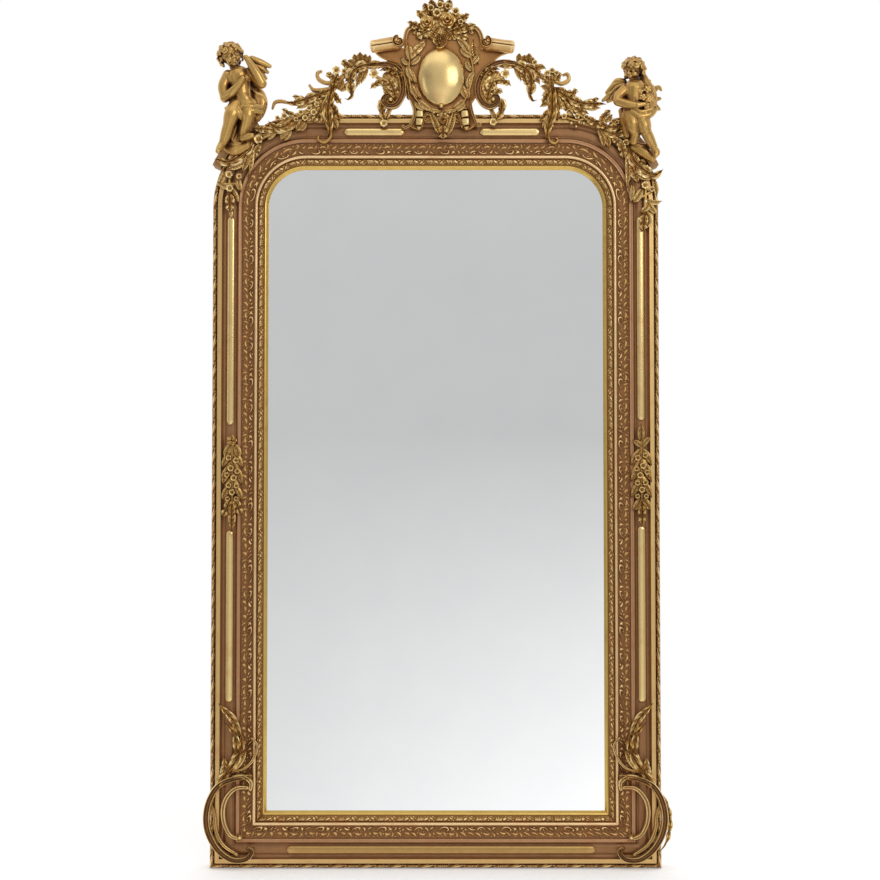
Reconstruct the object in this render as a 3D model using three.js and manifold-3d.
// Gilt trumeau mirror with a carved crest, garlands, two putti and corner clasps.
// Millimetres, +Z up, the front faces -Y, and the origin is the middle of the flat back.
import * as THREE from "three";
import { mergeVertices } from "three/addons/utils/BufferGeometryUtils.js";
import Module from "manifold-3d";

const wasm = await Module();
wasm.setup();
const { Manifold } = wasm;

// ---------- Driving dimensions ----------
// Widths are measured inward from the outer edge of the frame, heights forward from its flat back.
const FRAME_WIDTH = 1034;
const FRAME_HEIGHT = 1738;
const CORNER_RADIUS = 217;
const FRONT = 50;

// Outer moulding: leaf band, flat fillet, cove, bed of the panel strips, inner cove and step.
const LEAF_BAND = 13;
const LEAF_SIDE = 34;
const LEAF_CREST = 45;
const FILLET = 10.5;
const OUTER_COVE = 11;
const STRIP_BED = 18;
const BED_HEIGHT = 43;
const COVE_FLOOR = 40.5;
const INNER_COVE = 8.5;
const STEP = 8;

// Inner moulding: scotia, bead, leaf moulding and the sloping lip at the sight edge.
const SCOTIA = 29;
const SCOTIA_FLOOR = 41;
const BEAD = 7.5;
const LEAF_MOULDING = 14;
const LEAF_MOULDING_CREST = 48;
const LIP = 9;
const LIP_HEIGHT = 40;

// Glass, stops and back board in their rebates.
const GLASS_THICKNESS = 4;
const GLASS_COVER = 12;
const GLASS_PLAY = 1;
const BOARD_THICKNESS = 6;
const BOARD_LEDGE = 13.5;
const STOP_WIDTH = 14;
const LIP_EDGE = 30;

// Joints: touching pieces keep a glue line or a seat clearance.
const CLEARANCE = 0.3;
const MITRE_GAP = 0.2;

// Panel strips: runs measured from the top corners, the side bouquets and the crest.
const STRIP_END = 16;
const STRIP_TOP_MARGIN = 24;
const STRIP_FOOT = 378;
const SIDE_BREAK_LENGTH = 242;
const SIDE_BREAK_LEFT = 893;
const SIDE_BREAK_RIGHT = 903;
const TOP_STRIP_INNER = 87;
const TOP_STRIP_MARGIN = 72;
const BOTTOM_STRIP_MARGIN = 164;
const BOTTOM_STRIP_SHIFT = 12;

// Fasteners and hangers on the back.
const SCREW_SHANK = 3.4;
const SCREW_HOLE = 4;
const SCREW_HEAD = 7.5;
const SCREW_HEAD_HEIGHT = 2.2;
const SCREW_LENGTH = 18;
const HANGER_DROP = 300;
const HANGER_INSET = 35;
const STRAP_SHEET = 1.5;
const STRAP_WIDTH = 18;
const STRAP_LENGTH = 52;
const RING_WIRE = 5;
const RING_INNER_WIDTH = 34;
const RING_INNER_LENGTH = 26;
const RING_PLAY = 0.4;
const BUMPER_DIAMETER = 22;
const BUMPER_THICKNESS = 9;
const BUMPER_INSET = 45;

// Crest: its centre line stands a little to the right of the frame's, as on the original.
const CREST_SHIFT = 15;
const PLATE_THICKNESS = 9;
const CABOCHON_HALF_WIDTH = 55;
const CABOCHON_HALF_HEIGHT = 69;
const CABOCHON_RISE = 24;
const ROLL_RADIUS = 15;
const BATTEN_THICKNESS = 20;
const BATTEN_WIDTH = 96;
const BATTEN_HEIGHT = 150;
const BRACKET_DEPTH = 20;
const BRACKET_START = 24;
const BRACKET_END = 60;

// Carving: one unit of its drawings, and how finely curves are cut into flats.
const DRAWING_UNIT = 1;
const BAND_STEP = 28;
const SLIVER = 0.2;
const CORNER_STEPS = 8;
const NOTCH = 0.58;
const LOBE_SWEEP = 0.55;

// ---------- Values that follow from them ----------
const OUTER_WIDTH = LEAF_BAND + FILLET + OUTER_COVE + STRIP_BED + INNER_COVE + STEP;
const INNER_START = OUTER_WIDTH + CLEARANCE;
const BEAD_START = INNER_START + SCOTIA;
const LEAF_START = BEAD_START + BEAD;
const LIP_START = LEAF_START + LEAF_MOULDING;
const SIGHT = LIP_START + LIP;
const GLASS_REBATE = SIGHT - GLASS_COVER;
const BOARD_REBATE = GLASS_REBATE - BOARD_LEDGE;
const LEDGE_HEIGHT = BOARD_THICKNESS + CLEARANCE;
const GLASS_FRONT = LIP_EDGE - CLEARANCE;
const GLASS_BACK = GLASS_FRONT - GLASS_THICKNESS;
const BED_START = LEAF_BAND + FILLET + OUTER_COVE;
const SEAT = FRONT + CLEARANCE;
const PLATE_SEAT = SEAT + PLATE_THICKNESS + CLEARANCE;
const ARC_X = FRAME_WIDTH / 2 - CORNER_RADIUS;
const ARC_Z = FRAME_HEIGHT - CORNER_RADIUS;
const CORNER_POINT_X = ARC_X + CORNER_RADIUS * Math.SQRT1_2;
const CORNER_POINT_Z = ARC_Z + CORNER_RADIUS * Math.SQRT1_2;

// ---------- Finishes ----------
const finish = (color, roughness, metalness) => (
  new THREE.MeshStandardMaterial({ color, roughness, metalness })
);
const GOLD = finish(0xc8a05a, 0.38, 0.9);
const BURNISHED = finish(0xd9bd7c, 0.22, 0.95);
const AGED_GOLD = finish(0x8a5c34, 0.5, 0.7);
const PINE = finish(0xb98f5e, 0.8, 0);
const GLASS = finish(0xd8dcdc, 0.03, 1);
const BOARD = finish(0x8a6a48, 0.85, 0);
const STEEL = finish(0xb4b2aa, 0.35, 1);
const FELT = finish(0x2b2a28, 0.95, 0);

// ---------- Closed geometry ----------

// Six times the volume that a triangle spans with the origin.
function spannedVolume(p, a, b, c) {
  const [ax, ay, az] = p[a];
  const [bx, by, bz] = p[b];
  const [cx, cy, cz] = p[c];
  return ax * (by * cz - bz * cy) + ay * (bz * cx - bx * cz) + az * (bx * cy - by * cx);
}

// Points and triangles as one geometry whose faces point out.
function closedGeometry(points, triangles) {
  const volume = triangles.reduce((sum, [a, b, c]) => sum + spannedVolume(points, a, b, c), 0);
  const index = triangles.flatMap(([a, b, c]) => (volume > 0 ? [a, b, c] : [a, c, b]));
  const geometry = new THREE.BufferGeometry();
  geometry.setAttribute("position", new THREE.Float32BufferAttribute(points.flat(), 3));
  geometry.setIndex(index);
  geometry.computeVertexNormals();
  return geometry;
}

const signedArea = (outline) => THREE.ShapeUtils.area(outline);

// Triangles of a flat end, wound the way round that its outline runs.
function endTriangles(outline) {
  const contour = outline.map(([u, v]) => new THREE.Vector2(u, v));
  const turn = Math.sign(signedArea(contour));
  return THREE.ShapeUtils.triangulateShape(contour, []).map(([a, b, c]) => {
    const same = Math.sign(signedArea([contour[a], contour[b], contour[c]])) === turn;
    return same ? [a, b, c] : [a, c, b];
  });
}

// A loft through rings of equal count; the outline is the section that both flat ends show.
function loft(rings, outline) {
  const count = outline.length;
  const last = (rings.length - 1) * count;
  const triangles = [];
  for (let base = 0; base < last; base += count) {
    for (let k = 0; k < count; k += 1) {
      const next = (k + 1) % count;
      triangles.push([base + k, base + next, base + count + k]);
      triangles.push([base + next, base + count + next, base + count + k]);
    }
  }
  endTriangles(outline).forEach(([a, b, c]) => {
    triangles.push([a, c, b]);
    triangles.push([last + a, last + b, last + c]);
  });
  return closedGeometry(rings.flat(), triangles);
}

// A flat sheet of an outline in the XZ plane, from one height forward by its thickness.
function sheet(shape, height, thickness, curveSegments = 8) {
  const options = { depth: thickness, bevelEnabled: false, curveSegments };
  return new THREE.ExtrudeGeometry(shape, options).rotateX(Math.PI / 2).translate(0, -height, 0);
}

// A geometry as a solid for joins and cuts, and a solid as a geometry with its slivers merged.
function toSolid(geometry) {
  const bare = geometry.clone();
  bare.deleteAttribute("normal");
  bare.deleteAttribute("uv");
  const merged = mergeVertices(bare, 1e-4);
  const vertProperties = new Float32Array(merged.attributes.position.array);
  const triVerts = new Uint32Array(merged.index.array);
  return new Manifold(new wasm.Mesh({ numProp: 3, vertProperties, triVerts }));
}
function toGeometry(solid) {
  const mesh = solid.asOriginal().simplify(SLIVER).getMesh();
  const geometry = new THREE.BufferGeometry();
  geometry.setAttribute("position", new THREE.BufferAttribute(mesh.vertProperties, mesh.numProp));
  geometry.setIndex(new THREE.BufferAttribute(mesh.triVerts, 1));
  geometry.computeVertexNormals();
  return geometry;
}
const joined = (geometries) => Manifold.union(geometries.map(toSolid));

// A round bar along Y, from one height to another, for shanks, heads, holes and pads.
function pin(x, z, diameter, fromHeight, toHeight, sides = 10) {
  const bar = new THREE.CylinderGeometry(diameter / 2, diameter / 2, toHeight - fromHeight, sides);
  return bar.translate(x, -(fromHeight + toHeight) / 2, z);
}

// ---------- Carving ----------
// Every form is drawn on the seat as [across, up] points and a place says where the seat lies.
// A form called with some growth is that much larger all round, to cut room for itself.

// Where a group of forms lies: its origin, which way across runs, how far it is stretched.
// Drawn sizes become real ones through its unit, and heights are drawn forward from its seat.
function place(x, z, { across = 1, stretch = 1, seat = SEAT, unit = DRAWING_UNIT } = {}) {
  return {
    seat,
    unit,
    to: ([u, v]) => new THREE.Vector3(x + across * stretch * u * unit, 0, z + v * unit),
    front: (height) => -(seat + height * unit),
  };
}

// Sections as [share of the half width, share of the rise].
const LEAF_SECTION = [[-1, 0], [-0.55, 0.85], [0, 0.55], [0.55, 0.85], [1, 0]];
const BLADE_SECTION = [[-1, 0], [0, 1], [1, 0]];
const BAND_SECTION = [[-1, 0], [-0.6, 1], [0.6, 1], [1, 0]];

// One ring of a section across a path: centre, tangent and size give every point its place.
function sectionRing(section, path, s, halfWidth, rise, seat, sweep = 0) {
  const centre = path.getPointAt(s);
  const along = path.getTangentAt(s);
  return section.map(([u, v]) => {
    const side = u * halfWidth;
    const ahead = Math.abs(u) === 1 ? sweep : 0;
    return [
      centre.x + along.z * side + along.x * ahead,
      -(seat + v * rise),
      centre.z - along.x * side + along.z * ahead,
    ];
  });
}

// A leaf swells as a half sine along its midrib; its lobes alternate with notches, swept forward.
const leaf = (spine, halfWidth, rise, lobes = 0) => (where, grow = 0) => {
  const path = new THREE.CatmullRomCurve3(spine.map(where.to), false, "centripetal");
  const section = lobes > 4 ? LEAF_SECTION : BLADE_SECTION;
  const steps = lobes > 0 ? 2 * lobes : 2;
  const reach = halfWidth * where.unit;
  const rings = [];
  for (let i = 0; i <= steps; i += 1) {
    const s = i / steps;
    const swell = Math.sin(Math.PI * (0.17 + 0.76 * s));
    const notched = lobes > 0 && i % 2 === 0 && i > 0 && i < steps;
    const width = reach * swell * (notched ? NOTCH : 1) + grow;
    const sweep = lobes > 0 && i % 2 === 1 ? LOBE_SWEEP * reach * swell : 0;
    const height = rise * where.unit * (0.6 + 0.4 * swell) + 2 * grow;
    rings.push(sectionRing(section, path, s, width, height, where.seat - grow, sweep));
  }
  return loft(rings, section);
};

// A scroll band keeps its width over most of its length and thins toward both ends.
const band = (spine, halfWidth, rise) => (where, grow = 0) => {
  const path = new THREE.CatmullRomCurve3(spine.map(where.to), false, "centripetal");
  const steps = Math.max(3, Math.round(path.getLength() / BAND_STEP));
  const rings = [];
  for (let i = 0; i <= steps; i += 1) {
    const s = i / steps;
    const taper = 0.65 + 0.35 * Math.sin(Math.PI * s);
    const width = halfWidth * where.unit * taper + grow;
    const height = rise * where.unit * (0.75 + 0.25 * taper) + 2 * grow;
    rings.push(sectionRing(BAND_SECTION, path, s, width, height, where.seat - grow));
  }
  return loft(rings, BAND_SECTION);
};

// A stem is a plain low ridge that runs through its points and ties leaves and flowers together.
const stem = (spine, halfWidth, rise) => (where, grow = 0) => {
  const path = new THREE.CatmullRomCurve3(spine.map(where.to), false, "centripetal");
  const last = spine.length - 1;
  const width = halfWidth * where.unit + grow;
  const height = rise * where.unit + 2 * grow;
  const rings = spine.map((_, i) => (
    sectionRing(BLADE_SECTION, path, i / last, width, height, where.seat - grow)
  ));
  return loft(rings, BLADE_SECTION);
};

// A dome of stacked rounds given as [share of the radius, share of the rise], closed at the top.
const PETAL_NOTCH = 0.78;
const dome = (rounds, sides, notch) => (centre, radius, rise) => (where, grow = 0) => {
  const middle = where.to(centre);
  const rings = rounds.map(([share, height]) => Array.from({ length: sides }, (_, k) => {
    const angle = (2 * Math.PI * k) / sides;
    const reach = (radius * where.unit + grow) * share * (k % 2 === 1 ? notch : 1);
    const front = where.seat - grow + height * (rise * where.unit + 2 * grow);
    return [middle.x + reach * Math.cos(angle), -front, middle.z + reach * Math.sin(angle)];
  }));
  return loft(rings, rings[0].map(([x, , z]) => [x, z]));
};

// An open flower: petals that rise to a small heart. A berry: a small bead. A boss: a wide cushion.
const flower = dome([[1, 0], [0.45, 1]], 8, PETAL_NOTCH);
const berry = dome([[1, 0], [0.5, 1]], 6, 1);
const boss = dome([[1, 0], [0.6, 1]], 12, 1);

// All forms of one casting as one solid.
const carving = (forms, where, grow = 0) => joined(forms.map((form) => form(where, grow)));

// A round limb through stations [across, up, forward, radius], with a blunt cap at each end.
const limb = (stations, sides = 5) => (where, grow = 0) => {
  const centres = stations.map(([u, v, height]) => where.to([u, v]).setY(where.front(height)));
  const path = new THREE.CatmullRomCurve3(centres, false, "centripetal");
  const ring = (s, shift, scale) => {
    const t = s * (stations.length - 1);
    const k = Math.min(Math.floor(t), stations.length - 2);
    const radius = where.unit * THREE.MathUtils.lerp(stations[k][3], stations[k + 1][3], t - k) + grow;
    const along = path.getTangent(s);
    const centre = path.getPoint(s).addScaledVector(along, shift * radius);
    const side = new THREE.Vector3(along.z, 0, -along.x).normalize();
    const front = new THREE.Vector3().crossVectors(along, side);
    return Array.from({ length: sides }, (_, n) => {
      const angle = (2 * Math.PI * (n + 0.5)) / sides;
      return centre.clone()
        .addScaledVector(side, radius * scale * Math.cos(angle))
        .addScaledVector(front, radius * scale * Math.sin(angle))
        .toArray();
    });
  };
  const middle = stations.slice(1, -1).map((_, k) => ring((k + 1) / (stations.length - 1), 0, 1));
  const rings = [
    ring(0, -0.75, 0.6),
    ring(0, 0, 1),
    ...middle,
    ring(1, 0, 1),
    ring(1, 0.75, 0.6),
  ];
  return loft(rings, Array.from({ length: sides }, (_, n) => {
    const angle = (2 * Math.PI * n) / sides;
    return [Math.cos(angle), Math.sin(angle)];
  }));
};

// Curls of hair and blossoms in a basket: small faceted balls at [across, up, forward, radius].
const curls = (balls) => balls.map(([u, v, height, radius]) => (where, grow = 0) => {
  const centre = where.to([u, v]).setY(where.front(height));
  return new THREE.IcosahedronGeometry(radius * where.unit + grow, 0).translate(...centre.toArray());
});

// ---------- Ornament, drawn as [across, up] points on its seat ----------
// Crest and garlands are drawn from the crest's foot, corners from the middle of their arcs,
// side bouquets from the outer edge and the middle of their break, clasps from the foot corner.
// Plate of the crest, round from the left foot over the top to the right foot.
const CREST_PLATE = [
  [-56, -42], [-74, -33], [-68, 2], [-77, 33], [-86, 77],
  [-100, 112], [-121, 119], [-146, 131], [-160, 147],
  [-158, 166], [-135, 173], [-102, 175], [-98, 154], [-86, 150],
  [-84, 185], [-68, 201], [-42, 213], [0, 225],
  [46, 213], [74, 199], [90, 182], [92, 157], [104, 171], [134, 168], [162, 161], [164, 145], [134, 131],
  [111, 110], [90, 82], [81, 42], [67, 12], [78, -28], [55, -42], [37, -21], [0, -9], [-37, -21],
];

// C-scrolls, volutes, feet and leaves that stand on or beside the plate.
const CREST_SCROLLS = [
  band([
    [-133, 110], [-109, 103], [-93, 84], [-88, 54], [-95, 26],
    [-112, 12], [-128, 16], [-130, 33], [-119, 35],
  ], 8, 17),
  berry([-119, 28], 6, 19),
  leaf([[-107, 23], [-114, 51], [-123, 84]], 11, 9),
  leaf([[-123, 16], [-137, 21], [-139, 2], [-132, -21]], 10, 12, 2),
  flower([-135, -23], 9, 10),
  band([[-126, 70], [-144, 79], [-163, 86]], 5, 8),
  flower([-158, 89], 10, 10),
  leaf([[-135, 72], [-151, 65], [-167, 56]], 7, 9),
  band([
    [125, 110], [104, 96], [88, 75], [78, 49], [88, 23],
    [104, 12], [122, 16], [127, 30], [115, 35],
  ], 8, 17),
  berry([118, 28], 6, 19),
  leaf([[102, 26], [109, 51], [120, 79]], 11, 9),
  leaf([[115, 14], [136, 21], [136, 0], [122, -21]], 10, 12, 2),
  flower([118, -21], 9, 10),
  stem([[83, 51], [127, 70]], 7, 8),
  stem([[-91, 47], [-128, 70]], 7, 8),
  band([[120, 72], [134, 79], [148, 84]], 5, 8),
  flower([146, 89], 10, 10),
  leaf([[120, 70], [141, 70], [157, 63]], 7, 9),
  band([[-84, 143], [-86, 171], [-79, 192], [-65, 197], [-58, 187], [-68, 182]], 5.5, 16),
  band([[92, 143], [92, 171], [85, 189], [74, 197], [65, 187], [74, 182]], 5.5, 16),
  band([[-79, 40], [-68, 19], [-63, -2], [-70, -26], [-84, -37], [-93, -30]], 3.5, 15),
  band([[67, 40], [67, 12], [74, -14], [83, -33], [92, -26]], 3.5, 15),
  band([[-54, 14], [-54, -12], [-56, -42]], 8, 13),
  band([[51, 14], [53, -12], [57, -42]], 8, 13),
  band([[-47, -37], [-42, -16], [-35, -5], [-26, -9], [-19, -28], [-14, -47]], 3.5, 14),
  band([[46, -37], [41, -16], [34, -5], [25, -9], [20, -28], [18, -47]], 3.5, 14),
];

const ROLL_LEFT = { from: [-158, 153], to: [-102, 162] };
const ROLL_RIGHT = { from: [164, 151], to: [101, 159] };
const CABOCHON = [-2, 82];

const LAUREL_LEFT = [
  leaf([[-74, 121], [-77, 142], [-79, 160]], 7, 9),
  leaf([[-81, 121], [-60, 142], [-35, 167]], 8, 8),
  leaf([[-72, 111], [-60, 118], [-49, 132]], 5, 8),
  leaf([[-74, 109], [-86, 114], [-95, 128]], 4, 8),
  leaf([[-67, 72], [-77, 90], [-81, 109]], 6, 9),
  leaf([[-60, 67], [-67, 83], [-70, 100]], 4, 8),
  leaf([[-56, 34], [-67, 48], [-72, 67]], 6, 9),
  leaf([[-49, 32], [-58, 46], [-60, 60]], 4, 8),
  leaf([[-28, 4], [-44, 14], [-58, 28]], 6, 9),
  leaf([[-42, 4], [-56, 11], [-65, 25]], 4, 8),
  stem([[-28, 4], [-56, 23], [-72, 55], [-77, 93], [-74, 139]], 3.5, 7),
];
const LAUREL_RIGHT = [
  leaf([[60, 139], [48, 158], [32, 170]], 7, 9),
  leaf([[69, 128], [55, 135], [39, 149]], 6, 8),
  leaf([[69, 111], [78, 121], [85, 135]], 5, 8),
  leaf([[69, 95], [60, 104], [55, 121]], 5, 9),
  leaf([[60, 72], [67, 83], [76, 93]], 5, 8),
  leaf([[62, 53], [60, 67], [62, 83]], 5, 8),
  leaf([[55, 32], [48, 48], [46, 65]], 6, 9),
  leaf([[60, 30], [60, 44], [57, 58]], 4, 8),
  leaf([[27, 7], [41, 16], [53, 30]], 6, 9),
  leaf([[34, 2], [46, 9], [55, 21]], 4, 8),
  stem([[25, 2], [50, 23], [64, 55], [71, 97], [60, 149]], 3.5, 7),
];
const CREST_PENDANT = [
  berry([0, 8], 5, 10),
  stem([[-37, 7], [2, -17], [37, 4]], 5, 8),
  stem([[0, 11], [2, -19]], 4, 8),
  berry([-23, 0], 5, 10),
  berry([-12, -6], 5, 10),
  berry([16, -4], 5, 10),
  berry([-35, 7], 4, 9),
  flower([2, -21], 10, 11),
  leaf([[-17, -3], [-12, -31], [-5, -59]], 6, 12),
  leaf([[2, -28], [2, -47], [2, -66]], 8, 11),
  leaf([[18, -3], [13, -31], [7, -59]], 6, 12),
];
const CREST_BOUQUET = [
  boss([-3, 199], 38, 8),
  leaf([[-30, 190], [-56, 197], [-81, 209]], 10, 12, 2),
  leaf([[-37, 211], [-51, 225], [-60, 237]], 8, 12),
  leaf([[-28, 225], [-37, 239], [-42, 251]], 7, 12),
  leaf([[-12, 234], [-23, 248], [-28, 260]], 8, 14),
  leaf([[-3, 239], [-3, 253], [-3, 265]], 6, 12),
  leaf([[9, 234], [16, 248], [18, 260]], 7, 14),
  leaf([[23, 202], [43, 218], [62, 227]], 10, 12, 2),
  leaf([[25, 188], [53, 192], [76, 204]], 10, 12, 2),
  leaf([[-28, 183], [-42, 174], [-58, 169]], 8, 9),
  leaf([[18, 185], [41, 174], [60, 171]], 8, 9),
  flower([-35, 204], 17, 26),
  flower([9, 211], 17, 28),
  flower([25, 225], 12, 20),
  flower([-7, 237], 11, 24),
  flower([-23, 227], 9, 22),
  leaf([[-3, 188], [2, 169], [-12, 148]], 10, 18),
];

const SWAG_LEFT = [
  stem([[-163, 109], [-223, 90], [-255, 53], [-292, 13], [-361, -19], [-428, -68]], 9, 9),
  leaf([[-142, 107], [-174, 107], [-202, 93], [-213, 60], [-216, 37], [-225, 32]], 17, 15, 4),
  leaf([[-167, 114], [-174, 128], [-170, 139]], 7, 10),
  leaf([[-188, 109], [-197, 123], [-204, 137]], 8, 10),
  flower([-195, 118], 9, 13),
  leaf([[-206, 100], [-223, 109], [-232, 123]], 8, 10),
  leaf([[-230, 81], [-234, 95], [-241, 107]], 8, 10),
  flower([-246, 97], 9, 14),
  leaf([[-246, 76], [-260, 83], [-269, 93]], 7, 10),
  leaf([[-237, 76], [-264, 69], [-287, 79], [-290, 93], [-281, 97]], 5.5, 12),
  leaf([[-234, 58], [-246, 72], [-250, 88]], 9, 12, 2),
  leaf([[-250, 58], [-278, 53], [-301, 55], [-308, 65]], 6.5, 12),
  leaf([[-253, 62], [-262, 20], [-257, -22], [-257, -54], [-271, -71]], 17, 16, 4),
  leaf([[-255, 51], [-294, 37], [-329, 23], [-359, 23], [-382, 27], [-391, 11]], 10, 13, 3),
  leaf([[-273, 32], [-299, 16], [-322, 4]], 9, 9, 2),
  leaf([[-276, 27], [-285, -3], [-301, -26]], 8, 9),
  flower([-310, -12], 9, 12),
  leaf([[-338, -12], [-352, -5], [-373, 11]], 6, 10),
  flower([-366, -10], 9, 13),
  leaf([[-343, -12], [-366, -33], [-387, -36], [-403, -19]], 8, 11),
  leaf([[-324, -19], [-345, -31], [-361, -43]], 9, 10),
  leaf([[-361, -31], [-366, -50], [-361, -68]], 5, 8),
  leaf([[-352, -24], [-384, -40], [-417, -38]], 9, 9, 2),
  leaf([[-387, -43], [-412, -43], [-438, -36]], 8, 9),
  flower([-425, -64], 11, 13),
  leaf([[-421, -61], [-430, -85], [-433, -106]], 10, 10),
];
const SWAG_RIGHT = [
  stem([[162, 109], [229, 86], [257, 53], [287, 20], [347, -22], [416, -75]], 9, 9),
  leaf([[136, 107], [169, 106], [199, 90], [206, 60], [206, 34], [219, 27]], 17, 15, 4),
  leaf([[171, 114], [180, 128], [183, 139]], 8, 10),
  leaf([[194, 109], [203, 118], [210, 130]], 7, 10),
  flower([210, 114], 8, 13),
  leaf([[213, 100], [227, 107], [238, 109]], 7, 10),
  flower([250, 90], 10, 14),
  leaf([[250, 76], [264, 86], [271, 95]], 7, 10),
  leaf([[245, 95], [229, 76], [222, 55]], 9, 12, 2),
  leaf([[245, 72], [271, 67], [291, 76], [289, 90], [280, 88]], 5.5, 12),
  leaf([[259, 58], [284, 48], [303, 44], [314, 55]], 9, 11),
  leaf([[257, 62], [257, 20], [249, -12], [240, -40], [240, -71]], 15, 16, 4),
  leaf([[261, 55], [289, 37], [321, 18], [356, 13], [381, 18]], 10, 13, 3),
  leaf([[277, 34], [289, 11], [307, -10]], 9, 9),
  leaf([[298, 23], [314, 4], [337, -3]], 8, 9),
  flower([305, -24], 9, 12),
  stem([[277, -8], [310, -19], [344, -10]], 4, 8),
  leaf([[328, -12], [347, -31], [367, -40]], 10, 10),
  leaf([[365, -26], [374, -12], [391, 4]], 8, 10),
  leaf([[347, -19], [384, -36], [430, -33]], 8, 11),
  leaf([[365, -38], [397, -52], [434, -43]], 8, 10),
  leaf([[377, -52], [379, -68], [379, -85]], 8, 9),
  leaf([[388, -57], [407, -71], [418, -87]], 7, 9),
  leaf([[409, -64], [416, -85], [420, -108]], 9, 10),
  flower([425, -75], 8, 12),
];

const ACANTHUS_LEFT = [
  leaf([[29, 7], [20, -21], [-3, -44], [-29, -54], [-59, -44]], 14, 16, 3),
  leaf([[24, -5], [15, -23], [-8, -33]], 9, 12, 2),
  leaf([[24, -23], [17, -49], [6, -79]], 7, 11),
  leaf([[20, -40], [-3, -61], [-36, -70]], 6, 9),
  leaf([[26, 12], [29, -23], [27, -58], [20, -91]], 5, 10),
];
const DROP_LEFT = [
  stem([[-24, -82], [-21, -163]], 6, 8),
  stem([[-47, -103], [1, -103]], 5, 8),
  flower([-24, -82], 9, 12),
  leaf([[-36, -75], [-40, -91], [-49, -105]], 6, 9),
  flower([-1, -86], 7, 10),
  leaf([[-49, -100], [-31, -110], [-8, -103]], 6, 10),
  flower([-22, -114], 9, 13),
  leaf([[-3, -91], [-1, -107], [4, -121]], 6, 9),
  leaf([[-19, -112], [-8, -128], [-1, -149]], 4, 8),
  leaf([[-24, -121], [-21, -144], [-21, -170]], 11, 15, 2),
  leaf([[-21, -161], [-19, -172], [-19, -184]], 4, 7),
];
const ACANTHUS_RIGHT = [
  leaf([[-7, -19], [5, -51], [30, -75], [53, -84], [74, -68]], 14, 16, 3),
  leaf([[-4, -26], [10, -47], [35, -58]], 9, 12, 2),
  leaf([[-4, -54], [5, -79], [16, -103]], 8, 11),
  leaf([[3, -61], [23, -84], [51, -93]], 7, 9),
  leaf([[-9, -14], [-9, -47], [-9, -82], [-12, -119]], 6, 10),
];
const DROP_RIGHT = [
  stem([[32, -112], [30, -177]], 6, 8),
  stem([[0, -140], [30, -130], [55, -110]], 5, 8),
  flower([30, -107], 9, 12),
  leaf([[51, -93], [55, -112], [58, -133]], 6, 9),
  flower([46, -116], 7, 11),
  leaf([[2, -107], [0, -126], [-2, -147]], 5, 8),
  leaf([[23, -116], [14, -133], [2, -149]], 7, 9),
  leaf([[32, -140], [53, -147], [71, -142]], 5, 9),
  berry([32, -144], 6, 10),
  leaf([[41, -147], [32, -161], [18, -170]], 6, 9),
  leaf([[35, -144], [46, -161], [57, -175]], 6, 9),
  leaf([[30, -168], [27, -188], [25, -214]], 10, 14, 2),
  leaf([[32, -168], [39, -188], [32, -209]], 7, 11),
];

const CLASP_LEAVES = [
  band([
    [99, 212], [58, 207], [24, 192], [3, 160], [-5, 119], [1, 83],
    [24, 45], [56, 24], [88, 27], [99, 43], [86, 52],
  ], 9, 17),
  band([[3, 153], [13, 124], [17, 90], [33, 58], [68, 33]], 4, 11),
  band([[94, 187], [62, 185], [40, 162], [33, 133], [38, 101], [51, 79], [70, 70]], 5.5, 15),
  berry([72, 74], 6, 17),
  leaf([[10, 176], [37, 214], [62, 248], [76, 284], [71, 316]], 10, 15, 3),
  leaf([[42, 223], [60, 257], [62, 296], [50, 321], [32, 336]], 8, 13, 3),
  leaf([[71, 305], [55, 341], [39, 359], [20, 377]], 8, 14),
  leaf([[53, 223], [73, 250], [87, 275]], 7, 12),
  leaf([[19, 192], [35, 225], [35, 259]], 8, 11),
  band([[51, 221], [85, 232], [103, 255], [110, 282], [96, 300]], 3, 9),
  band([[51, 210], [78, 212], [96, 198], [94, 178]], 5, 13),
];
const CLASP_FRILL = [
  leaf([[-1, 171], [-14, 142], [-19, 106], [-12, 67], [4, 40]], 6, 9, 5),
];

const BOUQUET_LEFT = [
  stem([[49, 87], [50, -78]], 6, 8),
  flower([49, 85], 12, 13),
  leaf([[49, 78], [38, 60], [34, 41]], 7, 9),
  leaf([[52, 76], [63, 60], [63, 41]], 7, 9),
  leaf([[45, 27], [34, 9], [25, -5]], 7, 9),
  leaf([[52, 27], [66, 9], [73, -9]], 6, 9),
  berry([43, 27], 7, 12),
  berry([59, 27], 7, 12),
  berry([50, 9], 8, 14),
  berry([61, -5], 7, 12),
  berry([43, -14], 7, 12),
  berry([57, -25], 7, 12),
  berry([45, -39], 7, 12),
  leaf([[48, -44], [39, -69], [27, -92]], 9, 10, 2),
  leaf([[52, -44], [64, -67], [71, -87]], 9, 10, 2),
  leaf([[50, -60], [50, -92], [50, -124]], 8, 12),
];
const BOUQUET_RIGHT = [
  stem([[45, 77], [44, -79]], 6, 8),
  leaf([[45, 75], [45, 93], [45, 114]], 7, 10),
  leaf([[43, 61], [55, 70], [64, 77]], 5, 9),
  leaf([[43, 61], [32, 75], [22, 84]], 5, 9),
  berry([50, 54], 7, 12),
  berry([36, 43], 7, 12),
  berry([50, 31], 7, 12),
  leaf([[46, 22], [57, 6], [57, -15]], 7, 10),
  leaf([[41, 22], [30, 6], [30, -15]], 7, 10),
  berry([44, 4], 8, 14),
  berry([51, -24], 7, 12),
  berry([37, -35], 7, 12),
  berry([48, -51], 7, 12),
  leaf([[46, -58], [55, -74], [65, -86]], 7, 10),
  leaf([[42, -58], [30, -74], [23, -86]], 7, 10),
  leaf([[44, -65], [44, -93], [44, -120]], 9, 12, 2),
];

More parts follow.
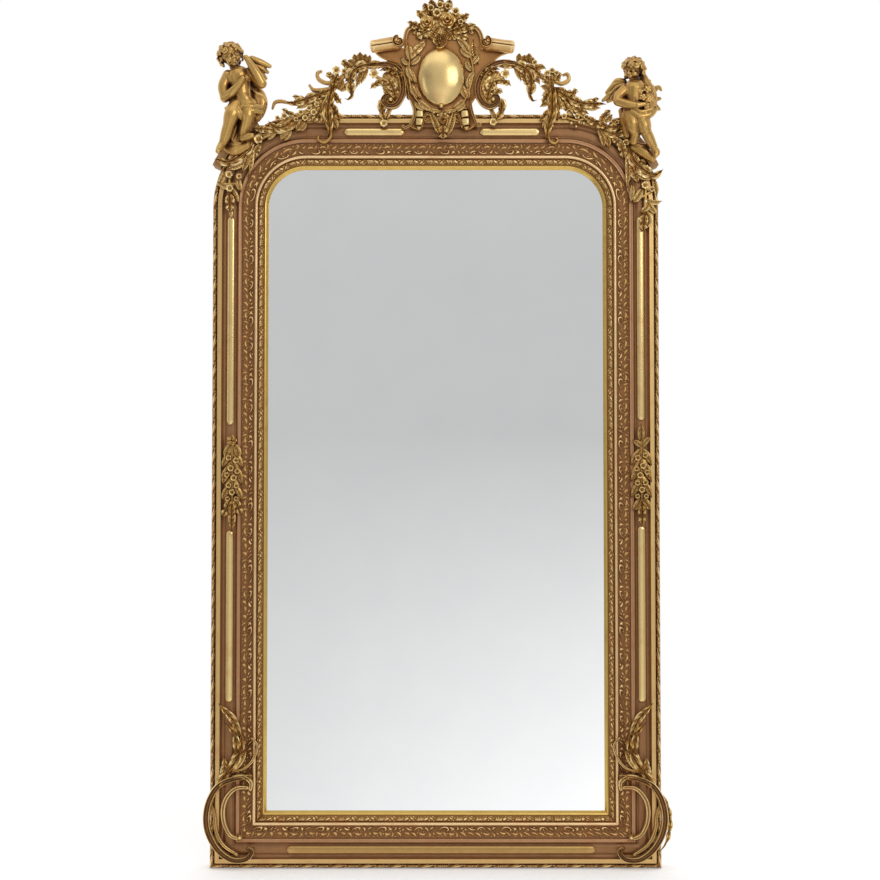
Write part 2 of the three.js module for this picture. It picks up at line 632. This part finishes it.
const PUTTO_LEFT = [
  limb([[-17, 187, 32, 27], [-10, 179, 34, 24]]),
  limb([[-8, 162, 30, 11], [1, 139, 28, 13]]),
  limb([[6, 134, 30, 24], [10, 106, 30, 22], [15, 83, 29, 20], [17, 60, 28, 25]]),
  limb([[-20, 138, 30, 14], [-33, 110, 32, 13], [-28, 88, 36, 12], [1, 108, 48, 9], [13, 119, 52, 8]]),
  limb([[29, 136, 30, 14], [60, 122, 40, 12], [44, 147, 48, 11], [27, 169, 54, 9]]),
  limb([[-5, 61, 34, 20], [-17, 33, 44, 18], [-29, 9, 40, 13], [-37, -18, 34, 9], [-42, -33, 42, 9]]),
  limb([[27, 59, 34, 21], [21, 29, 42, 17], [11, 5, 34, 12], [4, -18, 34, 9]]),
  limb([[30, 163, 42, 14], [59, 161, 34, 9], [70, 162, 30, 4]]),
  limb([[27, 110, 16, 11], [52, 90, 12, 13], [47, 62, 12, 9]]),
  limb([[-27, 65, 38, 5], [-3, 60, 46, 8], [25, 61, 50, 8], [54, 71, 32, 7]]),
  limb([[-31, -4, 14, 13], [-7, -18, 16, 17], [18, -6, 14, 13]]),
];
const PUTTO_LEFT_CURLS = [
  [-45, 196, 32, 12], [-37, 167, 36, 12], [-29, 216, 36, 12],
  [-3, 210, 38, 12], [-15, 199, 52, 12], [6, 189, 32, 11],
];
const PUTTO_RIGHT = [
  limb([[5, 161, 32, 28], [-2, 154, 34, 25]]),
  limb([[3, 138, 30, 12], [3, 118, 28, 13]]),
  limb([[3, 106, 30, 24], [-2, 78, 30, 21], [3, 51, 29, 26]]),
  limb([[-18, 110, 32, 14], [-32, 86, 36, 12], [-9, 69, 48, 11], [16, 68, 52, 9]]),
  limb([[26, 111, 30, 13], [39, 86, 36, 12], [28, 64, 48, 10]]),
  limb([[16, 45, 34, 20], [24, 15, 44, 17], [33, -9, 38, 12], [45, -27, 36, 9], [51, -40, 42, 8]]),
  limb([[-7, 45, 34, 20], [1, 15, 40, 15], [10, 1, 24, 9]]),
  limb([[-9, 106, 12, 12], [-30, 118, 12, 15], [-55, 97, 12, 8], [-67, 87, 12, 4]]),
  limb([[-5, 52, 50, 8], [25, 49, 52, 12], [53, 60, 46, 9]]),
  limb([[9, -36, 12, 12], [30, -32, 14, 12], [36, -49, 20, 9]]),
  limb([[-7, -8, 10, 10], [18, -20, 12, 8], [37, -20, 12, 7]]),
  limb([[-27, 52, 12, 9], [-14, 31, 14, 14], [-9, 4, 12, 12]]),
];
const PUTTO_RIGHT_CURLS = [
  [-23, 167, 36, 11], [-7, 180, 38, 12], [16, 179, 36, 12],
  [30, 156, 32, 13], [35, 140, 32, 14], [-2, 172, 52, 11],
];
const PUTTO_FLOWERS = [
  [47, 105, 42, 15], [29, 86, 54, 14], [49, 75, 42, 14], [34, 63, 52, 12],
];

// ---------- Assembly ----------
const mirror = new THREE.Group();
mirror.position.z = -FRAME_HEIGHT / 2;

function add(name, shape, material) {
  const geometry = shape instanceof Manifold ? toGeometry(shape) : shape;
  const mesh = new THREE.Mesh(geometry, material);
  mesh.name = name;
  mirror.add(mesh);
}
const SIDES = [["left", -1], ["right", 1]];

// ---------- Frame mouldings ----------

// Section of the outer moulding as [inward, forward] points.
function outerSection() {
  const coveEnd = BED_START;
  const bedEnd = BED_START + STRIP_BED;
  const stepStart = bedEnd + INNER_COVE;
  return [
    [0, 0], [0, LEAF_SIDE], [LEAF_BAND * 0.18, LEAF_CREST - 3.5], [LEAF_BAND * 0.5, LEAF_CREST],
    [LEAF_BAND * 0.85, LEAF_CREST - 2], [LEAF_BAND, COVE_FLOOR], [LEAF_BAND, FRONT],
    [LEAF_BAND + FILLET, FRONT], [LEAF_BAND + FILLET + 1, FRONT - 5],
    [coveEnd - OUTER_COVE * 0.45, COVE_FLOOR], [coveEnd - 1, COVE_FLOOR + 1], [coveEnd, BED_HEIGHT],
    [bedEnd, BED_HEIGHT], [bedEnd + 1, COVE_FLOOR + 1], [bedEnd + INNER_COVE * 0.5, COVE_FLOOR + 1.5],
    [stepStart - 1, FRONT - 3], [stepStart, FRONT], [OUTER_WIDTH, FRONT], [OUTER_WIDTH, 0],
  ];
}

// Section of the inner moulding, with the glass rebate and the ledge of the back board behind.
function innerSection() {
  return [
    [INNER_START, 0], [INNER_START, SCOTIA_FLOOR + 5], [INNER_START + SCOTIA * 0.2, SCOTIA_FLOOR + 1],
    [INNER_START + SCOTIA * 0.5, SCOTIA_FLOOR], [INNER_START + SCOTIA * 0.8, SCOTIA_FLOOR + 3],
    [BEAD_START, SCOTIA_FLOOR + 5], [BEAD_START + BEAD * 0.1, FRONT - 2],
    [BEAD_START + BEAD * 0.5, FRONT], [BEAD_START + BEAD * 0.9, FRONT - 2],
    [LEAF_START, SCOTIA_FLOOR + 4],
    [LEAF_START + LEAF_MOULDING * 0.35, LEAF_MOULDING_CREST],
    [LEAF_START + LEAF_MOULDING * 0.8, LEAF_MOULDING_CREST - 4], [LIP_START, LIP_HEIGHT],
    [SIGHT - 2, LIP_HEIGHT - 6], [SIGHT, LIP_HEIGHT - 8], [SIGHT, LIP_EDGE],
    [GLASS_REBATE, LIP_EDGE], [GLASS_REBATE, LEDGE_HEIGHT],
    [BOARD_REBATE, LEDGE_HEIGHT], [BOARD_REBATE, 0],
  ];
}

// Where a section point stands on each straight run and on the round corners.
const onStile = (side, z) => ([t, h]) => [side * (FRAME_WIDTH / 2 - t), -h, z];
const onStileMitre = (side) => ([t, h]) => [side * (FRAME_WIDTH / 2 - t), -h, t + MITRE_GAP];
const onTopRail = (x) => ([t, h]) => [x, -h, FRAME_HEIGHT - t];
const onBottomMitre = (side) => ([t, h]) => [side * (FRAME_WIDTH / 2 - t - MITRE_GAP), -h, t];
const onCorner = (side, angle) => ([t, h]) => [
  side * (ARC_X + (CORNER_RADIUS - t) * Math.cos(angle)),
  -h,
  ARC_Z + (CORNER_RADIUS - t) * Math.sin(angle),
];

function moulding(section, places) {
  return loft(places.map((put) => section.map(put)), section);
}

// The five kinds of member that one section makes: name ending, solid.
function members(section) {
  const list = [
    ["top_rail", moulding(section, [onTopRail(-ARC_X + CLEARANCE), onTopRail(ARC_X - CLEARANCE)])],
    ["bottom_rail", moulding(section, [onBottomMitre(-1), onBottomMitre(1)])],
  ];
  SIDES.forEach(([name, side]) => {
    const turns = Array.from({ length: CORNER_STEPS + 1 }, (_, k) => (
      onCorner(side, (Math.PI / 2) * (k / CORNER_STEPS))
    ));
    const ends = [onStileMitre(side), onStile(side, ARC_Z - CLEARANCE)];
    list.push([`stile_${name}`, moulding(section, ends)]);
    list.push([`corner_${name}`, moulding(section, turns)]);
  });
  return list;
}

// A screw with a domed head behind the back plane and a shank that runs forward.
const HEAD_OVERLAP = 1;
function screw([x, z], headSeat, length) {
  const shank = pin(x, z, SCREW_SHANK, headSeat - HEAD_OVERLAP, length, 8);
  const head = pin(x, z, SCREW_HEAD, headSeat - SCREW_HEAD_HEIGHT, headSeat, 12);
  return joined([head, shank]);
}
const screwHole = ([x, z], from, to) => toSolid(pin(x, z, SCREW_HOLE, from, to, 8));
const pilotDepth = SCREW_LENGTH + CLEARANCE;

// Screws through the tail of each strap hanger.
const hangerX = FRAME_WIDTH / 2 - HANGER_INSET;
const hangerZ = FRAME_HEIGHT - HANGER_DROP;
const strapThickness = 2 * STRAP_SHEET;
const loopBore = RING_WIRE / 2 + RING_PLAY;
const loopOuter = loopBore + STRAP_SHEET;
const pivotBehind = CLEARANCE + loopOuter;
const strapBack = -CLEARANCE - strapThickness;
const SCREW_LEVELS = [["upper", 0.45], ["lower", 0.85]];
const hangerScrews = SIDES.flatMap(([name, side]) => SCREW_LEVELS.map(([level, share]) => (
  { name: `hanger_screw_${name}_${level}`, at: [side * hangerX, hangerZ - STRAP_LENGTH * share] }
)));
const hangerPilots = Manifold.union(
  hangerScrews.map(({ at }) => screwHole(at, strapBack - 1, pilotDepth)),
);

members(outerSection()).forEach(([name, geometry]) => {
  const block = name.replace("corner_", "corner_block_");
  const bored = name.startsWith("stile") ? toSolid(geometry).subtract(hangerPilots) : geometry;
  add(block, bored, GOLD);
});
members(innerSection()).forEach(([name, geometry]) => add(`inner_${name}`, geometry, AGED_GOLD));

// ---------- Panel strips ----------

// A burnished strip: rounded section on the bed, thinned to a blunt point at both ends.
const stripHalf = STRIP_BED / 2 - CLEARANCE;
const stripBase = BED_HEIGHT + CLEARANCE;
const stripRise = FRONT - stripBase;
const STRIP_SECTION = [[-1, 0], [-0.85, 0.55], [0, 1], [0.85, 0.55], [1, 0]];
const stripMiddle = BED_START + STRIP_BED / 2;

function strip(from, to, put) {
  const rings = [[from, 0.25], [from + STRIP_END * 0.4, 0.75], [from + STRIP_END, 1],
    [to - STRIP_END, 1], [to - STRIP_END * 0.4, 0.75], [to, 0.25]];
  return loft(rings.map(([along, share]) => STRIP_SECTION.map(([u, v]) => (
    put(along, stripMiddle + u * stripHalf * share, stripBase + v * stripRise * (0.5 + 0.5 * share))
  ))), STRIP_SECTION);
}
const stileStrip = (side) => (along, t, h) => [side * (FRAME_WIDTH / 2 - t), -h, along];
const topStrip = (along, t, h) => [along, -h, FRAME_HEIGHT - t];
const bottomStrip = (along, t, h) => [along, -h, t];
const sideBreaks = { left: SIDE_BREAK_LEFT, right: SIDE_BREAK_RIGHT };

SIDES.forEach(([name, side]) => {
  const middle = sideBreaks[name];
  const upper = strip(middle + SIDE_BREAK_LENGTH / 2, ARC_Z - STRIP_TOP_MARGIN, stileStrip(side));
  const lower = strip(STRIP_FOOT, middle - SIDE_BREAK_LENGTH / 2, stileStrip(side));
  add(`strip_${name}_upper`, upper, BURNISHED);
  add(`strip_${name}_lower`, lower, BURNISHED);
  const near = CREST_SHIFT + side * TOP_STRIP_INNER;
  const far = CREST_SHIFT + side * (ARC_X - TOP_STRIP_MARGIN);
  add(`strip_top_${name}`, strip(Math.min(near, far), Math.max(near, far), topStrip), BURNISHED);
});
const bottomHalf = FRAME_WIDTH / 2 - BOTTOM_STRIP_MARGIN;
const bottomEnds = [BOTTOM_STRIP_SHIFT - bottomHalf, BOTTOM_STRIP_SHIFT + bottomHalf];
add("strip_bottom", strip(...bottomEnds, bottomStrip), BURNISHED);

// ---------- Glass, stops and back board ----------

// The outline of the frame moved inward by t: square at the foot, round at the top corners.
function framedOutline(t) {
  const shape = new THREE.Shape();
  const halfWidth = FRAME_WIDTH / 2 - t;
  const radius = CORNER_RADIUS - t;
  shape.moveTo(-halfWidth, t);
  shape.lineTo(halfWidth, t);
  shape.lineTo(halfWidth, ARC_Z);
  shape.absarc(ARC_X, ARC_Z, radius, 0, Math.PI / 2, false);
  shape.lineTo(-ARC_X, FRAME_HEIGHT - t);
  shape.absarc(-ARC_X, ARC_Z, radius, Math.PI / 2, Math.PI, false);
  return shape;
}
// Their arcs are cut into as many chords as the corners, two for every curve segment.
const arched = (t, height, thickness) => sheet(framedOutline(t), height, thickness, CORNER_STEPS / 2);
add("mirror_glass", arched(GLASS_REBATE + GLASS_PLAY, GLASS_BACK, GLASS_THICKNESS), GLASS);
add("back_board", arched(BOARD_REBATE + CLEARANCE, 0, BOARD_THICKNESS), BOARD);

// Wooden stops hold the glass against the lip.
const stopHeight = GLASS_BACK - LEDGE_HEIGHT - 2 * CLEARANCE;
const stopMiddle = LEDGE_HEIGHT + CLEARANCE + stopHeight / 2;
const stopLine = GLASS_REBATE + CLEARANCE + STOP_WIDTH / 2;
const stopBox = (width, height, x, z) => (
  new THREE.BoxGeometry(width, stopHeight, height).translate(x, -stopMiddle, z)
);
const stopLow = GLASS_REBATE + CLEARANCE;
SIDES.forEach(([name, side]) => {
  const x = side * (FRAME_WIDTH / 2 - stopLine);
  add(`glass_stop_${name}`, stopBox(STOP_WIDTH, ARC_Z - stopLow, x, (ARC_Z + stopLow) / 2), PINE);
});
add("glass_stop_top", stopBox(2 * ARC_X, STOP_WIDTH, 0, FRAME_HEIGHT - stopLine), PINE);
const bottomStopLength = FRAME_WIDTH - 2 * (stopLow + STOP_WIDTH + CLEARANCE);
add("glass_stop_bottom", stopBox(bottomStopLength, STOP_WIDTH, 0, stopLine), PINE);

// ---------- Hangers and bumpers ----------

// A strap folded over the bar of its ring; the profile is [behind the back, up] from the pivot.
const tailInner = CLEARANCE - pivotBehind;
const tailOuter = tailInner + strapThickness;
function strapHanger(x) {
  const profile = new THREE.Shape();
  profile.moveTo(tailInner, -STRAP_LENGTH);
  profile.lineTo(tailInner, 0);
  profile.absarc(0, 0, loopOuter, Math.PI, -Math.acos(tailOuter / loopOuter), true);
  profile.lineTo(tailOuter, -STRAP_LENGTH);
  const bore = new THREE.Path();
  bore.absarc(0, 0, loopBore, 0, 2 * Math.PI, false);
  profile.holes.push(bore);
  const options = { depth: STRAP_WIDTH, bevelEnabled: false, curveSegments: 5 };
  const strap = new THREE.ExtrudeGeometry(profile, options);
  const upright = new THREE.Matrix4().makeBasis(
    new THREE.Vector3(0, 1, 0), new THREE.Vector3(0, 0, 1), new THREE.Vector3(1, 0, 0),
  );
  return strap.applyMatrix4(upright).translate(x - STRAP_WIDTH / 2, pivotBehind, hangerZ);
}

// The D ring: a straight bar in the loop and a bow that hangs down and just clears the strap.
const ringHalf = (RING_INNER_WIDTH + RING_WIRE) / 2;
const ringDrop = RING_INNER_LENGTH + RING_WIRE;
const ringTilt = Math.asin((tailOuter + CLEARANCE + RING_WIRE / 2) / (ringDrop - RING_WIRE));
function ring(x) {
  const bow = [[0, 0], [ringHalf * 0.35, 0], [ringHalf * 0.7, 0], [ringHalf * 0.97, -ringDrop * 0.14],
    [ringHalf, -ringDrop * 0.4], [ringHalf * 0.85, -ringDrop * 0.75],
    [ringHalf * 0.45, -ringDrop * 0.96], [0, -ringDrop]];
  const mirrored = bow.slice(1, -1).reverse().map(([u, v]) => [-u, v]);
  const path = new THREE.CatmullRomCurve3(
    [...bow, ...mirrored].map(([u, v]) => new THREE.Vector3(u, 0, v)), true, "centripetal",
  );
  const steps = 18;
  const sides = 6;
  const points = [];
  const triangles = [];
  for (let i = 0; i < steps; i += 1) {
    const centre = path.getPointAt(i / steps);
    const along = path.getTangentAt(i / steps);
    for (let k = 0; k < sides; k += 1) {
      const angle = (2 * Math.PI * k) / sides;
      const out = (RING_WIRE / 2) * Math.cos(angle);
      const back = (RING_WIRE / 2) * Math.sin(angle);
      points.push([centre.x + along.z * out, back, centre.z - along.x * out]);
      const next = (k + 1) % sides;
      const ahead = (i + 1) % steps;
      triangles.push([i * sides + k, i * sides + next, ahead * sides + k]);
      triangles.push([i * sides + next, ahead * sides + next, ahead * sides + k]);
    }
  }
  return closedGeometry(points, triangles).rotateX(ringTilt).translate(x, pivotBehind, hangerZ);
}

SIDES.forEach(([name, side]) => {
  const x = side * hangerX;
  add(`hanger_strap_${name}`, toSolid(strapHanger(x)).subtract(hangerPilots), STEEL);
  add(`hanger_ring_${name}`, ring(x), STEEL);
});
hangerScrews.forEach(({ name, at }) => add(name, screw(at, strapBack - CLEARANCE, SCREW_LENGTH), STEEL));

// Felt bumpers keep the foot of the frame off the wall.
SIDES.forEach(([name, side]) => {
  const x = side * (FRAME_WIDTH / 2 - BUMPER_INSET);
  const pad = pin(x, BUMPER_INSET, BUMPER_DIAMETER, -BUMPER_THICKNESS, -CLEARANCE, 16);
  add(`wall_bumper_${name}`, pad, FELT);
});

// ---------- Crest ----------
const crestPlace = place(CREST_SHIFT, FRAME_HEIGHT);
const onPlate = place(CREST_SHIFT, FRAME_HEIGHT, { seat: PLATE_SEAT });

// Smooth closed outline through a few points, cut into short chords.
function smoothShape(points, chords) {
  const drawn = [...points, points[0]].map(([u, v]) => new THREE.Vector2(u, v));
  const curve = new THREE.SplineCurve(drawn.map((point) => point.multiplyScalar(DRAWING_UNIT)));
  const shape = new THREE.Shape();
  curve.getPoints(chords).slice(0, -1).forEach(({ x, y }, k) => {
    if (k === 0) shape.moveTo(x, y);
    else shape.lineTo(x, y);
  });
  return shape;
}
const plate = sheet(smoothShape(CREST_PLATE, 48), SEAT, PLATE_THICKNESS)
  .translate(CREST_SHIFT, 0, FRAME_HEIGHT);

// The cabochon: an oval cushion whose rounds shrink as a quarter circle rises.
function cabochon(where, grow = 0) {
  const centre = where.to(CABOCHON);
  const sides = 20;
  const rings = [0, 0.35, 0.7, 0.94].map((share) => {
    const swell = Math.sqrt(1 - share * share);
    return Array.from({ length: sides }, (_, k) => {
      const angle = (2 * Math.PI * k) / sides;
      return [
        centre.x + (CABOCHON_HALF_WIDTH * swell + grow) * Math.cos(angle),
        -(where.seat - grow + (CABOCHON_RISE + 2 * grow) * share),
        centre.z + (CABOCHON_HALF_HEIGHT * swell + grow) * Math.sin(angle),
      ];
    });
  });
  return loft(rings, rings[0].map(([x, , z]) => [x, z]));
}

// A parchment roll: a round bar with a raised lip at each end, flat where it lies on the plate.
function parchmentRoll(ends, where, grow = 0) {
  const from = where.to(ends.from);
  const to = where.to(ends.to);
  const length = from.distanceTo(to);
  const radius = ROLL_RADIUS + grow;
  const profile = [[0, -grow], [radius - 4, -grow], [radius, 3], [radius, length * 0.3],
    [radius - 1.5, length * 0.5], [radius, length - 10], [radius + 1.5, length - 3],
    [radius - 2, length + grow], [0, length + grow]];
  const bar = new THREE.LatheGeometry(profile.map(([r, y]) => new THREE.Vector2(r, y)), 10);
  const turn = new THREE.Quaternion().setFromUnitVectors(
    new THREE.Vector3(0, 1, 0), to.clone().sub(from).normalize(),
  );
  const height = where.seat + ROLL_RADIUS * 0.55;
  bar.applyQuaternion(turn).translate(from.x, -height, from.z);
  return toSolid(bar).trimByPlane([0, -1, 0], where.seat - grow);
}

const cabochonRoom = toSolid(cabochon(onPlate, CLEARANCE));
const laurels = { left: carving(LAUREL_LEFT, onPlate), right: carving(LAUREL_RIGHT, onPlate) };
const bouquetRoom = carving(CREST_BOUQUET, onPlate, CLEARANCE);
const pendantRoom = carving(CREST_PENDANT, onPlate, CLEARANCE);
const rolls = {
  left: parchmentRoll(ROLL_LEFT, onPlate),
  right: parchmentRoll(ROLL_RIGHT, onPlate),
};
const rollRoom = Manifold.union([
  parchmentRoll(ROLL_LEFT, onPlate, CLEARANCE),
  parchmentRoll(ROLL_RIGHT, onPlate, CLEARANCE),
]);
const laurelRoom = Manifold.union([
  carving(LAUREL_LEFT, onPlate, CLEARANCE),
  carving(LAUREL_RIGHT, onPlate, CLEARANCE),
]);

const crestBody = carving(CREST_SCROLLS, crestPlace)
  .subtract(Manifold.union([cabochonRoom, bouquetRoom, pendantRoom, rollRoom, laurelRoom]))
  .add(toSolid(plate));
add("crest_body", crestBody, GOLD);
add("crest_cabochon", cabochon(onPlate), BURNISHED);
add("crest_bouquet", carving(CREST_BOUQUET, onPlate).subtract(cabochonRoom).subtract(rollRoom), GOLD);
add("crest_pendant", carving(CREST_PENDANT, onPlate).subtract(cabochonRoom), GOLD);
SIDES.forEach(([name]) => {
  const cut = laurels[name].subtract(Manifold.union([cabochonRoom, bouquetRoom, pendantRoom, rollRoom]));
  add(`laurel_${name}`, cut, GOLD);
  add(`parchment_roll_${name}`, rolls[name], BURNISHED);
});

// A pine batten stands on the top rail behind the crest and carries it.
const batten = new THREE.BoxGeometry(BATTEN_WIDTH, BATTEN_THICKNESS, BATTEN_HEIGHT).translate(
  CREST_SHIFT,
  -(FRONT - BATTEN_THICKNESS / 2),
  FRAME_HEIGHT + CLEARANCE + BATTEN_HEIGHT / 2,
);
add("crest_batten", batten, PINE);

// ---------- Garlands, corners and figures ----------

// Figures are cast with a flat back, so what lies behind the seat is trimmed away.
const flatBacked = (forms, where, grow = 0) => (
  carving(forms, where, grow).trimByPlane([0, -1, 0], where.seat - grow)
);
const CORNERS = {
  left: {
    figure: [...PUTTO_LEFT, ...curls(PUTTO_LEFT_CURLS)],
    acanthus: ACANTHUS_LEFT,
    drop: DROP_LEFT,
  },
  right: {
    figure: [...PUTTO_RIGHT, ...curls(PUTTO_RIGHT_CURLS), ...curls(PUTTO_FLOWERS)],
    acanthus: ACANTHUS_RIGHT,
    drop: DROP_RIGHT,
  },
};

// Each garland is drawn over some run, and stretched to the one from the crest to its corner.
const SWAGS = {
  left: { forms: SWAG_LEFT, drawnRun: 468 },
  right: { forms: SWAG_RIGHT, drawnRun: 438 },
};

SIDES.forEach(([name, side]) => {
  const corner = place(side * CORNER_POINT_X, CORNER_POINT_Z);
  const { figure, acanthus, drop } = CORNERS[name];
  const figureRoom = flatBacked(figure, corner, CLEARANCE);
  const acanthusRoom = carving(acanthus, corner, CLEARANCE);
  const { forms, drawnRun } = SWAGS[name];
  const stretch = (CORNER_POINT_X - side * CREST_SHIFT) / (drawnRun * DRAWING_UNIT);
  const garlandPlace = place(CREST_SHIFT, FRAME_HEIGHT, { stretch });
  const crestRoom = carving(CREST_SCROLLS, crestPlace, CLEARANCE);
  const garland = carving(forms, garlandPlace);
  add(`putto_${name}`, flatBacked(figure, corner), GOLD);
  add(`corner_acanthus_${name}`, carving(acanthus, corner).subtract(figureRoom), GOLD);
  add(`flower_drop_${name}`, carving(drop, corner).subtract(acanthusRoom), GOLD);
  add(`swag_${name}`, garland.subtract(Manifold.union([figureRoom, acanthusRoom, crestRoom])), GOLD);

  // A packing block glued to the round corner behind the figure.
  const block = new THREE.Shape();
  const inner = CORNER_RADIUS + CLEARANCE;
  const start = THREE.MathUtils.degToRad(BRACKET_START);
  const end = THREE.MathUtils.degToRad(BRACKET_END);
  block.absarc(0, 0, inner, start, end, false);
  block.absarc(0, 0, inner + BRACKET_DEPTH, end, start, true);
  const solid = toSolid(sheet(block, 8, FRONT - 8, 4)).transform([
    side, 0, 0, 0, 0, 1, 0, 0, 0, 0, 1, 0, side * ARC_X, 0, ARC_Z, 1,
  ]);
  add(`putto_bracket_${name}`, solid, PINE);
});

// ---------- Side bouquets and corner clasps ----------
const bouquetPlaces = {
  left: place(-FRAME_WIDTH / 2, SIDE_BREAK_LEFT),
  right: place(FRAME_WIDTH / 2, SIDE_BREAK_RIGHT, { across: -1 }),
};
const BOUQUETS = { left: BOUQUET_LEFT, right: BOUQUET_RIGHT };
SIDES.forEach(([name, side]) => {
  const foot = place(side * (FRAME_WIDTH / 2), 0, { across: -side });
  const leaves = side > 0 ? [...CLASP_LEAVES, ...CLASP_FRILL] : CLASP_LEAVES;
  add(`side_bouquet_${name}`, carving(BOUQUETS[name], bouquetPlaces[name]), GOLD);
  add(`corner_clasp_${name}`, carving(leaves, foot), GOLD);
});

export default mirror;
